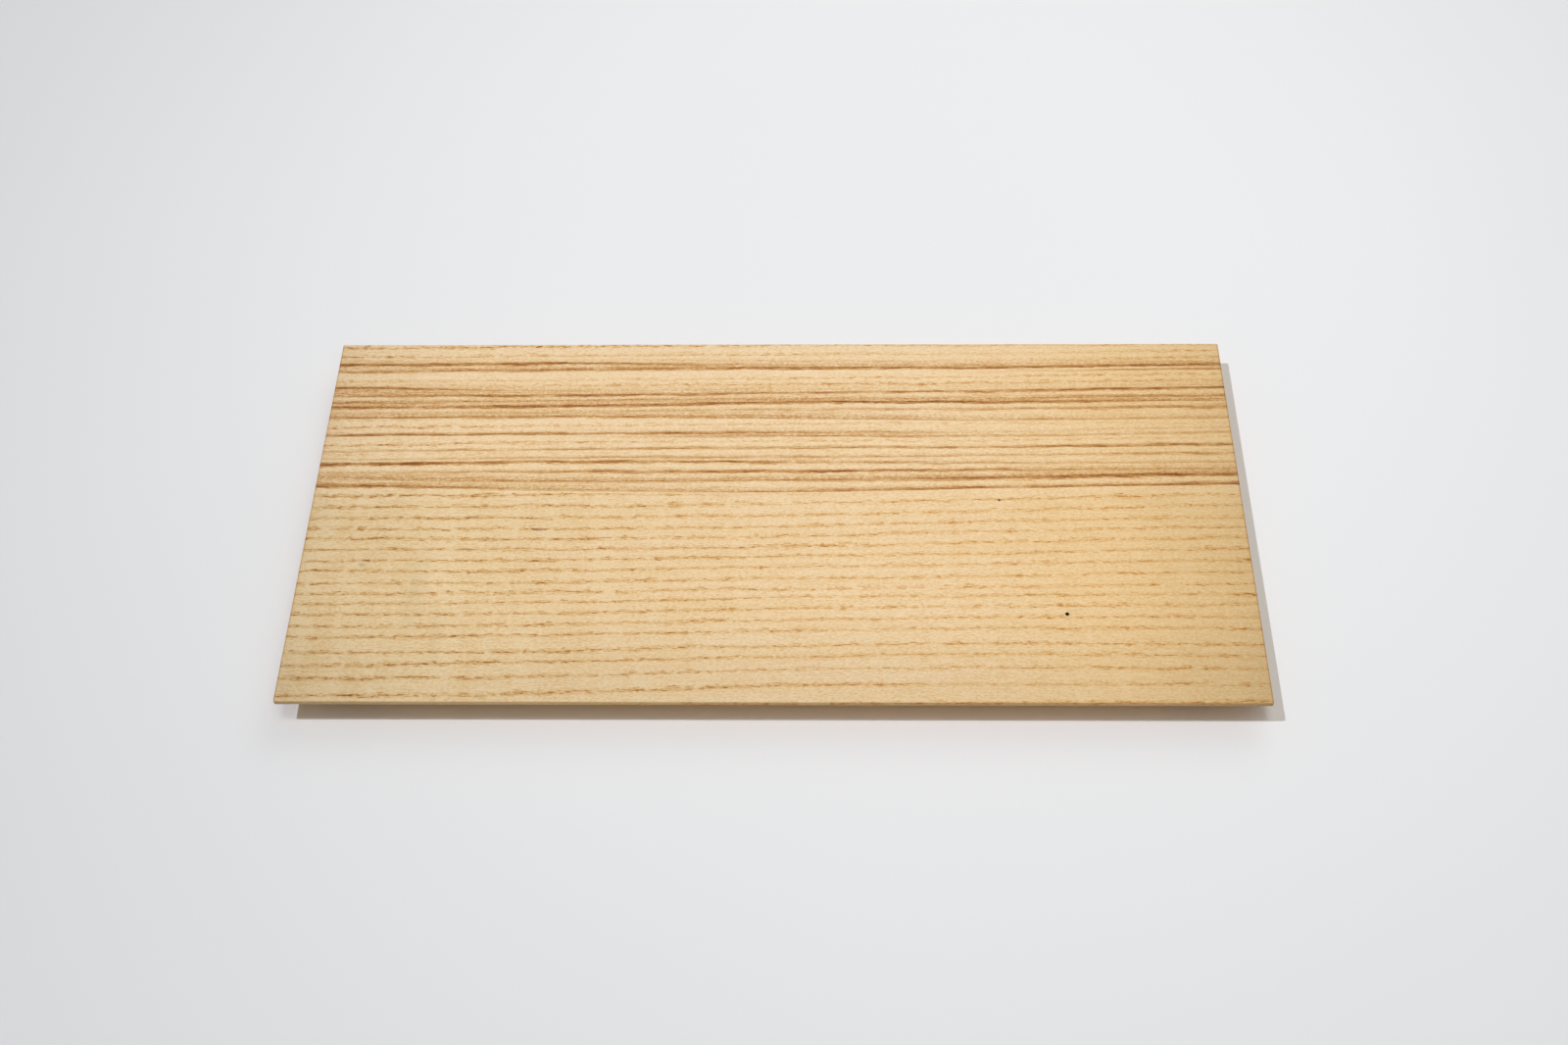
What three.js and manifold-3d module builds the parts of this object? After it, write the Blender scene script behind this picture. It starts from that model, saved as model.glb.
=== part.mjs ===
// A low serving plate: one flat plank with a thin rim, carried on two cross battens.
// Each batten has a dovetail tongue that slides into a groove across the plank's underside,
// and one round peg driven up through its middle locks it there.
// Millimetres, +Z up. X runs along the grain, the near long edge faces -Y,
// and the origin is on the table under the middle of the plate.
import * as THREE from "three";
import { ConvexGeometry } from "three/addons/geometries/ConvexGeometry.js";
import { mergeVertices } from "three/addons/utils/BufferGeometryUtils.js";
import Module from "manifold-3d";

// Plank
const PLATE_LENGTH = 400; // end to end, along the grain
const PLATE_WIDTH = 200; // near edge to far edge
const PLATE_HEIGHT = 15; // table to serving face
const BOARD_THICKNESS = 9; // plank between the bevels
const RIM_THICKNESS = 2.2; // edge that the under-bevel leaves
const BEVEL_WIDTH = 14; // reach of the under-bevel, in from the edge
const ARRIS_RADIUS = 0.4; // eased upper and lower edges of the rim
const CORNER_RADIUS = 0.8; // eased corners of the outline

// Battens
const BATTEN_WIDTH = 24; // along the plate
const BATTEN_SET_BACK = 4; // from the inner edge of the bevel to the batten, at its side and its ends
const BATTEN_END_SLOPE = 3; // how far a batten's end leans in from its shoulder to its sole
const SOLE_CHAMFER = 0.8; // along both lower edges of a batten

// Dovetail joint
const TONGUE_NECK = 13; // tongue's width at the batten's shoulder
const TONGUE_FLARE = 1; // how much further it reaches at its top, each side
const TONGUE_DEPTH = 3.5; // tongue's height above the shoulder
const JOINT_GAP = 0.3; // clearance around a tongue and around a peg

// Pegs
const PEG_DIAMETER = 6;
const PEG_COVER = 2.5; // wood left between the peg's hole and the serving face
const PEG_RECESS = 0.3; // peg's lower end, above the batten's sole
const PEG_CHAMFER = 0.6; // lead-in at the peg's upper end

// Pin hole in the serving face, as a beetle leaves one
const PIN_HOLE_DIAMETER = 1.3;
const PIN_HOLE_DEPTH = 2.5;
const PIN_HOLE_FROM_RIGHT_END = 79;
const PIN_HOLE_FROM_NEAR_EDGE = 44.6;

// Facets of the round forms
const ARRIS_STEPS = 3;
const CORNER_STEPS = 3;
const PEG_SIDES = 32;
const PIN_HOLE_SIDES = 16;

// A cutter runs this far past the faces that it cuts through.
const CUT_PAST = 1;

// Places worked out from the sizes above
const undersideZ = PLATE_HEIGHT - BOARD_THICKNESS;
const rimLowZ = PLATE_HEIGHT - RIM_THICKNESS;
const battenInset = BEVEL_WIDTH + BATTEN_SET_BACK;
const battenX = PLATE_LENGTH / 2 - battenInset - BATTEN_WIDTH / 2;
const battenLength = PLATE_WIDTH - 2 * battenInset;
const grooveRoofZ = undersideZ + TONGUE_DEPTH + JOINT_GAP;
const pegHoleTopZ = PLATE_HEIGHT - PEG_COVER;
const pegTopZ = pegHoleTopZ - JOINT_GAP;
const sides = { left: -1, right: 1 };

const woodOf = (color) => new THREE.MeshStandardMaterial({ color, roughness: 0.6, metalness: 0 });
const plankWood = woodOf(0xdebd8f);
const battenWood = woodOf(0xd6b384);
const pegWood = woodOf(0xc9a472);

const wasm = await Module();
wasm.setup();

// A closed geometry as a solid that can be cut.
function solidFrom(geometry) {
  const bare = geometry.clone();
  bare.deleteAttribute("normal");
  bare.deleteAttribute("uv");
  const merged = mergeVertices(bare);
  return new wasm.Manifold(
    new wasm.Mesh({
      numProp: 3,
      vertProperties: merged.attributes.position.array,
      triVerts: new Uint32Array(merged.index.array),
    }),
  );
}

// A solid as a flat-shaded geometry.
function geometryFrom(solid) {
  const mesh = solid.getMesh();
  const indexed = new THREE.BufferGeometry();
  indexed.setAttribute("position", new THREE.BufferAttribute(mesh.vertProperties, 3));
  indexed.setIndex(new THREE.BufferAttribute(mesh.triVerts, 1));
  const geometry = indexed.toNonIndexed();
  geometry.computeVertexNormals();
  return geometry;
}

// Pairs of [across, up] as vectors.
function vectors(pairs) {
  return pairs.map(([across, up]) => new THREE.Vector2(across, up));
}

// A closed outline through pairs of [across, up].
function outline(pairs) {
  return new THREE.Shape(vectors(pairs));
}

// A section in the X and Z directions, carried along Y and centred on it.
function carriedAlongY(shape, length) {
  const geometry = new THREE.ExtrudeGeometry(shape, { depth: length, bevelEnabled: false });
  return geometry.rotateX(Math.PI / 2).translate(0, length / 2, 0);
}

// A section in the Y and Z directions, carried along X and centred on it.
function carriedAlongX(shape, length) {
  const geometry = new THREE.ExtrudeGeometry(shape, { depth: length, bevelEnabled: false });
  return geometry.rotateX(Math.PI / 2).rotateZ(Math.PI / 2).translate(-length / 2, 0, 0);
}

// An upright round bar between two heights on the Z axis.
function uprightBar(diameter, lowZ, highZ, facets) {
  const length = highZ - lowZ;
  const geometry = new THREE.CylinderGeometry(diameter / 2, diameter / 2, length, facets);
  return geometry.rotateX(Math.PI / 2).translate(0, 0, lowZ + length / 2);
}

// The plate's outline seen from above, drawn in all round by the inset.
function plateOutline(inset) {
  const x = PLATE_LENGTH / 2 - inset;
  const y = PLATE_WIDTH / 2 - inset;
  const radius = Math.max(CORNER_RADIUS - inset, 0);
  if (radius === 0) {
    return vectors([
      [x, y],
      [-x, y],
      [-x, -y],
      [x, -y],
    ]);
  }
  const shape = new THREE.Shape();
  shape.absarc(x - radius, y - radius, radius, 0, Math.PI / 2);
  shape.absarc(-x + radius, y - radius, radius, Math.PI / 2, Math.PI);
  shape.absarc(-x + radius, -y + radius, radius, Math.PI, Math.PI * 1.5);
  shape.absarc(x - radius, -y + radius, radius, Math.PI * 1.5, Math.PI * 2);
  return shape.getPoints(CORNER_STEPS);
}

// The rim from the plank's underside up to its serving face, as [inset, height] stations.
function rimStations() {
  const stations = [[BEVEL_WIDTH, undersideZ]];
  for (let step = 0; step <= ARRIS_STEPS; step++) {
    const turn = (step / ARRIS_STEPS) * (Math.PI / 2);
    const inset = ARRIS_RADIUS * (1 - Math.sin(turn));
    const rise = ARRIS_RADIUS * (1 - Math.cos(turn));
    stations.push([inset, rimLowZ + rise], [inset, PLATE_HEIGHT - rise]);
  }
  return stations;
}

// The uncut plank is convex, so it is the hull of its outline at each station of the rim.
function plankBlank() {
  const points = rimStations().flatMap(([inset, z]) =>
    plateOutline(inset).map(({ x, y }) => new THREE.Vector3(x, y, z)),
  );
  return solidFrom(new ConvexGeometry(points));
}

// The dovetail's half width at its neck and at its top, with the clearance that a groove has.
function dovetailHalves(clearance) {
  const neck = TONGUE_NECK / 2 + clearance;
  return { neck, top: neck + TONGUE_FLARE };
}

// A groove starts below the underside, at its neck's width, and runs out on the bevels.
function grooveCutter() {
  const { neck, top } = dovetailHalves(JOINT_GAP);
  const section = outline([
    [-neck, undersideZ - CUT_PAST],
    [neck, undersideZ - CUT_PAST],
    [neck, undersideZ],
    [top, grooveRoofZ],
    [-top, grooveRoofZ],
    [-neck, undersideZ],
  ]);
  return solidFrom(carriedAlongY(section, PLATE_WIDTH + 2 * CUT_PAST));
}

// One straight hole for a peg, through the batten and on into the plank.
function pegHoleCutter() {
  return solidFrom(uprightBar(PEG_DIAMETER + 2 * JOINT_GAP, -CUT_PAST, pegHoleTopZ, PEG_SIDES));
}

function pinHoleCutter() {
  const bottomZ = PLATE_HEIGHT - PIN_HOLE_DEPTH;
  const bar = uprightBar(PIN_HOLE_DIAMETER, bottomZ, PLATE_HEIGHT + CUT_PAST, PIN_HOLE_SIDES);
  const x = PLATE_LENGTH / 2 - PIN_HOLE_FROM_RIGHT_END;
  const y = -PLATE_WIDTH / 2 + PIN_HOLE_FROM_NEAR_EDGE;
  return solidFrom(bar.translate(x, y, 0));
}

function plankGeometry() {
  let plank = plankBlank().subtract(pinHoleCutter());
  for (const side of Object.values(sides)) {
    const place = [side * battenX, 0, 0];
    plank = plank.subtract(grooveCutter().translate(place));
    plank = plank.subtract(pegHoleCutter().translate(place));
  }
  return geometryFrom(plank);
}

// A batten is its section carried across the plate, cut to its leaning ends, with the peg's hole.
function battenGeometry() {
  const half = BATTEN_WIDTH / 2;
  const { neck, top } = dovetailHalves(0);
  const tongueZ = undersideZ + TONGUE_DEPTH;
  const section = outline([
    [-half + SOLE_CHAMFER, 0],
    [half - SOLE_CHAMFER, 0],
    [half, SOLE_CHAMFER],
    [half, undersideZ],
    [neck, undersideZ],
    [top, tongueZ],
    [-top, tongueZ],
    [-neck, undersideZ],
    [-half, undersideZ],
    [-half, SOLE_CHAMFER],
  ]);
  const end = battenLength / 2;
  const lengthwise = outline([
    [-end + BATTEN_END_SLOPE, -CUT_PAST],
    [end - BATTEN_END_SLOPE, -CUT_PAST],
    [end - BATTEN_END_SLOPE, 0],
    [end, undersideZ],
    [end, tongueZ + CUT_PAST],
    [-end, tongueZ + CUT_PAST],
    [-end, undersideZ],
    [-end + BATTEN_END_SLOPE, 0],
  ]);
  const bar = solidFrom(carriedAlongY(section, battenLength + 2 * CUT_PAST));
  const ends = solidFrom(carriedAlongX(lengthwise, BATTEN_WIDTH + 2 * CUT_PAST));
  return geometryFrom(bar.intersect(ends).subtract(pegHoleCutter()));
}

// A peg turned about its own axis, with a lead-in at its upper end.
function pegGeometry() {
  const radius = PEG_DIAMETER / 2;
  const profile = [
    [0, PEG_RECESS],
    [radius, PEG_RECESS],
    [radius, pegTopZ - PEG_CHAMFER],
    [radius - PEG_CHAMFER, pegTopZ],
    [0, pegTopZ],
  ];
  return new THREE.LatheGeometry(vectors(profile), PEG_SIDES).rotateX(Math.PI / 2);
}

function named(name, geometry, material) {
  const mesh = new THREE.Mesh(geometry, material);
  mesh.name = name;
  return mesh;
}

const plate = new THREE.Group();
plate.add(named("plate_board", plankGeometry(), plankWood));
for (const [where, side] of Object.entries(sides)) {
  const support = new THREE.Group();
  support.position.x = side * battenX;
  support.add(named(`batten_${where}`, battenGeometry(), battenWood));
  support.add(named(`peg_${where}`, pegGeometry(), pegWood));
  plate.add(support);
}

export default plate;
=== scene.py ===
"""A low wooden serving plate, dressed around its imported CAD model.

The plate is one plank with a thin bevelled rim, two dovetailed cross battens and two pegs.
Sizes of the pieces are millimetres in the CAD model's frame: +X along the plank's grain, the near
long edge at -Y, +Z up, and the origin on the table under the middle. Meshes are written in metres,
and the studio is given in metres.
"""

import logging
import math
from collections.abc import Sequence
from dataclasses import dataclass, field
from enum import Enum
from functools import reduce

import bpy
import numpy as np
from mathutils import Euler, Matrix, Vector


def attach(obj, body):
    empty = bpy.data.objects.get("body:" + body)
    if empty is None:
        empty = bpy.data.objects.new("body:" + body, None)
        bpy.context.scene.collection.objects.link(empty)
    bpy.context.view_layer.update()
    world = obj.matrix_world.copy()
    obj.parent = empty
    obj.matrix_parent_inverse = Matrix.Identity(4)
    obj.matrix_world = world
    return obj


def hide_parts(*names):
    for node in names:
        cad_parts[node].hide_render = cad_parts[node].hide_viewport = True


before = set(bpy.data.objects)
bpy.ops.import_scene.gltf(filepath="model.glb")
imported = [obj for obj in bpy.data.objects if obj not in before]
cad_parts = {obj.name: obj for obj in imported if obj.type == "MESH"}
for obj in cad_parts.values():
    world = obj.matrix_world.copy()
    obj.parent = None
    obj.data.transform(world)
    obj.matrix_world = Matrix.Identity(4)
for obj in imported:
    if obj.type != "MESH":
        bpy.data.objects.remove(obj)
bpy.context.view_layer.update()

LOG = logging.getLogger("wooden_plate")
MM = 0.001
BODY = "root"
SHARP_EDGE = math.radians(32.0)
TOUCH = 1e-4

Array = np.ndarray
Colour = tuple[float, float, float, float]
Triple = tuple[float, float, float]
Five = tuple[float, float, float, float, float]
Socket = bpy.types.NodeSocket
Sockets = bpy.types.bpy_prop_collection


class Slot(Enum):
    """Material slots of the record."""

    PLANK = "plank_wood"
    BATTEN = "batten_wood"
    PEG = "peg_wood"


class Side(Enum):
    """The plate's two ends, by the sign of X."""

    LEFT = -1
    RIGHT = 1


class LineKind(Enum):
    """How a growth ring shows on a face: a row of open pores, or a stained brown line."""

    PORES = 0.0
    STREAK = 1.0


class GrainTurn(Enum):
    """Turn, in degrees about X, Y and Z, that lays a piece's grain along the pattern's X."""

    ALONG_X = (0.0, 0.0, 0.0)
    ALONG_Y = (0.0, 0.0, -90.0)
    ALONG_Z = (0.0, 90.0, 0.0)


class LampKind(Enum):
    """A far-off lamp, or a lit panel."""

    SUN = "SUN"
    PANEL = "AREA"


class Noise(Enum):
    """Noise patterns: feature size on three axes, octaves of finer noise, and their strength.

    Sizes are millimetres, first along the grain, and metres for the table.
    """

    WANDER = ((26.0, 5.0, 5.0), 1.5, 0.5)
    RAGGED = ((3.0, 1.3, 1.3), 3.0, 0.65)
    VESSELS = ((3.4, 0.38, 0.38), 2.0, 0.6)
    STRANDS = ((8.0, 0.45, 0.45), 3.0, 0.65)
    ROW_BREAKS = ((7.0, 10.0, 1.0), 2.5, 0.6)
    ROW_GIRTH = ((4.0, 9.0, 1.0), 1.5, 0.5)
    ROW_TWINS = ((6.0, 13.0, 1.0), 2.0, 0.5)
    STREAK_SWELL = ((19.0, 9.0, 1.0), 4.0, 0.65)
    LONG_FIBRES = ((34.0, 0.6, 0.6), 3.0, 0.6)
    FINE_FIBRES = ((6.0, 0.4, 0.4), 1.0, 0.5)
    GRIT = ((1.5, 0.45, 0.45), 2.0, 0.7)
    SHORT_PORES = ((3.0, 0.34, 0.34), 1.0, 0.5)
    DRIFT = ((110.0, 8.0, 8.0), 2.0, 0.5)
    FIGURE = ((9.0, 55.0, 55.0), 2.0, 0.6)
    MARK_RIM = ((1.1, 0.7, 0.7), 1.0, 0.5)
    TABLE_MOTTLE = ((0.25, 0.25, 0.25), 1.0, 0.5)


def shown(red: int, green: int, blue: int) -> Colour:
    """Turn a colour as a screen shows it into linear light.

    Args:
        red, green, blue: Screen values from 0 to 255.

    Returns:
        Linear red, green and blue with full alpha.
    """
    values = [v / 255 for v in (red, green, blue)]
    r, g, b = [v / 12.92 if v <= 0.04045 else ((v + 0.055) / 1.055) ** 2.4 for v in values]
    return (r, g, b, 1.0)


def ease(low: float, high: float, value: Array) -> Array:
    """Rise smoothly from 0 at low to 1 at high, as 3t^2 - 2t^3."""
    t = np.clip((value - low) / (high - low), 0.0, 1.0)
    return t * t * (3 - 2 * t)


def mirrored(distances: Sequence[float]) -> Array:
    """Repeat rising distances from 0 on both sides of it."""
    return np.concatenate([-np.array(distances)[:0:-1], distances])


def smooth_through(knots: Sequence, values: Sequence, slopes: Sequence, at: Array) -> Array:
    """Carry a cubic curve through values at rising knots, and straight on beyond both ends.

    Each span adds its rise times 3t^2 - 2t^3, plus its length times the two end slopes on the
    cubics t^3 - 2t^2 + t and t^3 - t^2, where t runs from 0 to 1 over that span.

    Args:
        knots: Places of the values, as numbers or as arrays like `at`.
        values: Value at each knot.
        slopes: Slope at each knot.
        at: Where the curve is wanted.

    Returns:
        The curve's value at each place.
    """
    total = values[0] + slopes[0] * np.minimum(at - knots[0], 0.0)
    for k in range(len(knots) - 1):
        length = knots[k + 1] - knots[k]
        t = np.clip((at - knots[k]) / length, 0.0, 1.0)
        bend = slopes[k] * (t**3 - 2 * t**2 + t) + slopes[k + 1] * (t**3 - t**2)
        total = total + (values[k + 1] - values[k]) * (3 * t**2 - 2 * t**3) + length * bend
    return total + slopes[-1] * np.maximum(at - knots[-1], 0.0)


@dataclass(frozen=True)
class GrainLine:
    """One growth ring where it crosses the serving face.

    Attributes:
        y: Distance from the far edge at five stations from the left end to the right.
        weight: Strength at the stations, about 1 for a full line.
        kind: Pore row or brown streak.
        shade: Strength at the stations of the soft brown tone on the line's far side.
        reach: How far that tone spreads.
    """

    y: Five
    weight: Five
    kind: LineKind = LineKind.PORES
    shade: Five = (0.0, 0.0, 0.0, 0.0, 0.0)
    reach: float = 2.5


def pores(y: Five, weight: Five) -> GrainLine:
    """Make a row of open pores."""
    return GrainLine(y, weight)


def streak(y: Five, weight: Five, shade: Five, reach: float = 2.5) -> GrainLine:
    """Make a stained brown line."""
    return GrainLine(y, weight, LineKind.STREAK, shade, reach)


FAINT = (0.5, 0.3, 0.5, 0.5, 0.75)
ROW = (0.66, 0.74, 0.68, 0.62, 0.68)

PLANK_LINES: tuple[GrainLine, ...] = (
    pores((2.2, 1.2, 0.6, 0.9, 0.5), (1.0, 1.0, 0.6, 0.5, 0.5)),
    pores((8.3, 7.3, 6.6, 6.2, 4.6), (0.85, 0.5, 0.6, 0.15, 0.55)),
    pores((10.6, 9.4, 10.6, 10.8, 8.8), (0.2, 0.1, 0.35, 0.25, 0.5)),
    streak((13.0, 12.0, 13.1, 13.1, 10.9), (0.98, 1.08, 0.1, 0.1, 0.1), (0.6, 0.2, 0.1, 0.1, 0.1)),
    streak((17.1, 16.2, 15.0, 14.9, 12.8), (0.66, 0.55, 0.95, 1.0, 1.2), (0.6, 1.0, 0.75, 0.65, 0.4), 3.4),
    streak((20.5, 19.5, 18.4, 17.7, 16.0), (0.0, 0.0, 0.0, 0.1, 0.6), (0.0, 0.0, 0.0, 0.0, 0.5), 2.0),
    pores((23.3, 22.6, 21.6, 20.6, 19.2), FAINT),
    pores((25.0, 25.8, 25.2, 24.6, 22.5), (0.1, 0.45, 0.7, 0.7, 0.5)),
    streak((27.4, 29.3, 28.5, 27.4, 25.7), (1.0, 0.08, 0.03, 0.0, 0.05), (0.1, 0.2, 0.1, 0.0, 0.15), 2.0),
    streak((32.4, 31.9, 30.5, 29.2, 27.3), (0.55, 1.0, 0.7, 0.86, 1.12), (1.0, 0.45, 0.35, 0.2, 0.2), 5.4),
    streak((36.5, 35.4, 34.2, 34.1, 32.3), (0.4, 0.28, 0.2, 0.2, 0.52), (0.9, 0.6, 0.4, 0.4, 0.6), 2.2),
    streak((39.4, 38.7, 36.3, 36.1, 35.3), (0.94, 0.84, 1.08, 1.03, 0.32), (0.9, 1.0, 0.9, 0.9, 1.0), 3.2),
    streak((42.9, 42.2, 40.8, 40.5, 39.2), (0.22, 0.14, 0.32, 0.46, 0.7), (0.1, 0.2, 0.3, 0.3, 0.5), 3.0),
    streak((45.7, 44.9, 46.1, 47.1, 45.9), (0.6, 0.7, 0.14, 0.44, 0.46), (0.8, 0.7, 1.0, 0.4, 0.3), 4.0),
    pores((51.6, 50.3, 49.4, 48.7, 48.9), (1.0, 0.4, 0.45, 0.3, 0.2)),
    streak((56.1, 55.2, 54.7, 54.2, 52.0), (0.88, 0.82, 0.58, 0.15, 0.2), (0.3, 0.3, 0.4, 0.1, 0.1)),
    streak((58.3, 57.4, 56.6, 56.7, 54.9), (0.05, 0.05, 0.46, 0.48, 0.34), (0.0, 0.1, 0.8, 0.3, 0.2)),
    pores((62.0, 60.2, 59.6, 59.2, 57.3), (0.95, 0.5, 0.5, 0.3, 0.25)),
    streak((65.5, 64.6, 63.7, 63.2, 61.8), (0.44, 0.5, 0.62, 0.63, 1.22), (0.0, 0.2, 0.2, 0.2, 0.0), 1.8),
    pores((67.5, 66.5, 66.2, 65.6, 64.3), (0.4, 0.2, 0.1, 0.1, 0.1)),
    streak((70.4, 69.2, 69.0, 68.1, 66.5), (0.3, 0.42, 0.46, 0.38, 0.48), (0.0, 0.15, 0.3, 0.25, 0.3), 2.0),
    streak((73.0, 71.6, 71.9, 72.6, 72.2), (1.4, 1.0, 0.76, 0.3, 0.28), (0.1, 0.4, 0.5, 0.4, 0.2)),
    streak((78.4, 77.2, 77.5, 76.4, 76.0), (0.15, 0.72, 1.06, 0.75, 0.08), (0.1, 0.3, 0.2, 0.4, 0.5)),
    streak((81.8, 83.4, 82.6, 81.1, 78.9), (0.1, 0.34, 0.36, 0.84, 1.24), (1.0, 0.85, 0.9, 1.0, 0.9), 3.6),
    streak((85.8, 88.0, 89.2, 86.8, 84.6), (0.92, 0.3, 0.46, 0.94, 1.2), (1.0, 0.7, 0.6, 0.4, 0.3), 3.4),
    pores((91.6, 90.6, 90.4, 88.6, 86.7), (1.0, 0.8, 0.3, 0.0, 0.0)),
    pores((98.0, 97.5, 96.0, 93.4, 90.7), (0.8, 0.85, 0.7, 0.75, 1.0)),
    pores((104.1, 103.8, 102.4, 99.9, 96.9), ROW),
    pores((110.2, 110.1, 108.6, 105.7, 103.6), ROW),
    pores((115.4, 115.6, 114.0, 111.4, 108.8), ROW),
    pores((121.6, 121.2, 119.8, 117.2, 114.9), ROW),
    pores((127.5, 127.2, 125.0, 123.1, 120.8), ROW),
    pores((133.3, 132.8, 130.7, 129.1, 127.0), ROW),
    pores((139.7, 139.1, 136.9, 135.4, 133.3), ROW),
    pores((145.4, 144.4, 142.5, 141.2, 139.7), ROW),
    pores((150.7, 149.6, 146.9, 145.8, 144.9), (0.5, 0.8, 0.68, 0.62, 0.8)),
    pores((156.1, 155.4, 152.7, 151.3, 150.5), ROW),
    pores((162.4, 161.2, 158.8, 157.2, 156.8), ROW),
    pores((168.1, 166.6, 164.4, 162.7, 162.7), ROW),
    pores((176.0, 175.0, 172.2, 170.5, 171.1), ROW),
    pores((182.0, 180.2, 177.7, 175.8, 176.8), (0.66, 1.0, 0.7, 0.5, 0.68)),
    pores((188.9, 187.4, 184.2, 182.7, 183.0), (0.7, 0.74, 0.5, 0.68, 0.85)),
    pores((197.4, 195.8, 192.1, 191.0, 190.8), (0.7, 0.74, 1.05, 0.5, 0.68)),
    pores((205.0, 203.0, 201.0, 200.0, 199.4), ROW),
)


@dataclass(frozen=True)
class PlankRings:
    """The plank's rings, drawn on its serving face and carried down through it at a slant.

    Attributes:
        lines: The rings from the far edge to the near one.
        stations: Places along X at which the lines give their values.
        end_slope: Share of its slope that a line keeps at the outer stations.
        half_length: Half the plank's length.
        far_edge: Place of the far edge along Y.
        face_height: Height of the serving face.
        slant: Shift of the rings towards the far edge per millimetre below the face.
    """

    lines: tuple[GrainLine, ...] = PLANK_LINES
    stations: Five = (-185.0, -95.0, 0.0, 95.0, 185.0)
    end_slope: float = 0.6
    half_length: float = 200.0
    far_edge: float = 100.0
    face_height: float = 15.0
    slant: float = 0.55

    def along(self, values: Five, x: Array) -> Array:
        """Carry five station values smoothly along the plank.

        Args:
            values: One value per station.
            x: Places along the plank.

        Returns:
            The value at each place.
        """
        slopes = np.gradient(np.array(values), np.array(self.stations))
        slopes[[0, -1]] *= self.end_slope
        return smooth_through(self.stations, values, slopes, x)

    def tones(self, x: Array, depth: Array) -> dict[str, Array]:
        """Say how the wood's tone changes over the plank.

        Each is a sum or product of smooth rises: ends, a painted shade where the light falls off,
        grows towards both ends and the long edges, fair lies in the far part and fades to the right,
        dull grows to the left, most of all in the near part, and honey grows to the right.

        Args:
            x: Places along the plank.
            depth: Distances from the far edge.

        Returns:
            Values named ends, fair, dull and honey.
        """
        from_end = self.half_length - np.abs(x)
        # Painted shade where the light falls off: ends darkens the wood towards both ends and the long
        # edges.
        end_shade_strength = 0.7 + (0.5 * ease(10.0, 120.0, depth) - 0.2) * ease(-100.0, 100.0, x)
        outermost = 0.4 * (1 - ease(0.0, 14.0, from_end))
        long_edges = 0.9 * ease(140.0, 205.0, depth) + 0.2 * (1 - ease(0.0, 20.0, depth))
        return {
            "ends": end_shade_strength * (1 - ease(0.0, 70.0, from_end)) + outermost + long_edges,
            "fair": 0.52 * (1 - ease(80.0, 100.0, depth)) * (1 - 0.65 * ease(20.0, 200.0, x)),
            "dull": ease(60.0, -200.0, x) * (0.3 + 0.7 * ease(55.0, 105.0, depth)),
            "honey": ease(20.0, 200.0, x),
        }

    def at(self, points: Array) -> dict[str, Array]:
        """Work out the ring attributes of points.

        Rings are counted from the far edge, with whole numbers on the lines: the count is the
        smooth curve through the lines' places, whose slope on a line is one over the mean of the
        gaps on its two sides. The soft tone falls off as a bell before a line, and just after a
        streak the wood is fairer, which falls off exponentially.

        Args:
            points: Places in millimetres, one per row.

        Returns:
            Values named ring, gap in millimetres, weight, streak and shade, and the tones.
        """
        x, y, z = points.T
        depth = self.far_edge - y + self.slant * (self.face_height - z)
        places = np.array([self.along(line.y, x) for line in self.lines])
        gaps = np.diff(places, axis=0)
        mean_gaps = np.concatenate([gaps[:1], (gaps[1:] + gaps[:-1]) / 2, gaps[-1:]])
        ring = smooth_through(places, np.arange(len(places), dtype=float), 1 / mean_gaps, depth)
        out = {name: np.zeros(len(points)) for name in ("gap", "weight", "streak", "shade")}
        for k, line in enumerate(self.lines):
            near = 1 - ease(0.42, 0.58, np.abs(ring - k))
            strength = np.maximum(self.along(line.weight, x), 0.0)
            before = places[k] - depth
            bell = np.exp(-1.5 * np.maximum(before / line.reach, 0.0) ** 1.6)
            soft = np.clip(self.along(line.shade, x), 0.0, 1.0) * ease(-0.5, 0.2, before) * bell
            fairer = 0.35 * ease(-0.4, -1.1, before) * np.exp(np.minimum(before, 0.0) / 1.6)
            out["gap"] += near * mean_gaps[k]
            out["weight"] += near * strength
            out["streak"] += near * line.kind.value
            out["shade"] += soft - fairer * line.kind.value * strength
        return {"ring": ring} | out | self.tones(x, depth)


@dataclass(frozen=True)
class StraightRings:
    """Even rings about a far-off pith, for the small pieces.

    Attributes:
        pith: Two coordinates of the pith's axis, across the grain.
        across: The two axes that lie across the grain.
        spacing: Ring spacing.
        weight: Strength of the pore rows.
    """

    pith: tuple[float, float]
    across: tuple[int, int]
    spacing: float
    weight: float

    def at(self, points: Array) -> dict[str, Array]:
        """Count rings by the distance from the pith, divided by the spacing.

        Args:
            points: Places in millimetres, one per row.

        Returns:
            Values named ring, gap in millimetres and weight.
        """
        first, second = points[:, self.across].T
        return {
            "ring": np.hypot(first - self.pith[0], second - self.pith[1]) / self.spacing,
            "gap": np.full(len(points), self.spacing),
            "weight": np.full(len(points), self.weight),
        }


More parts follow.
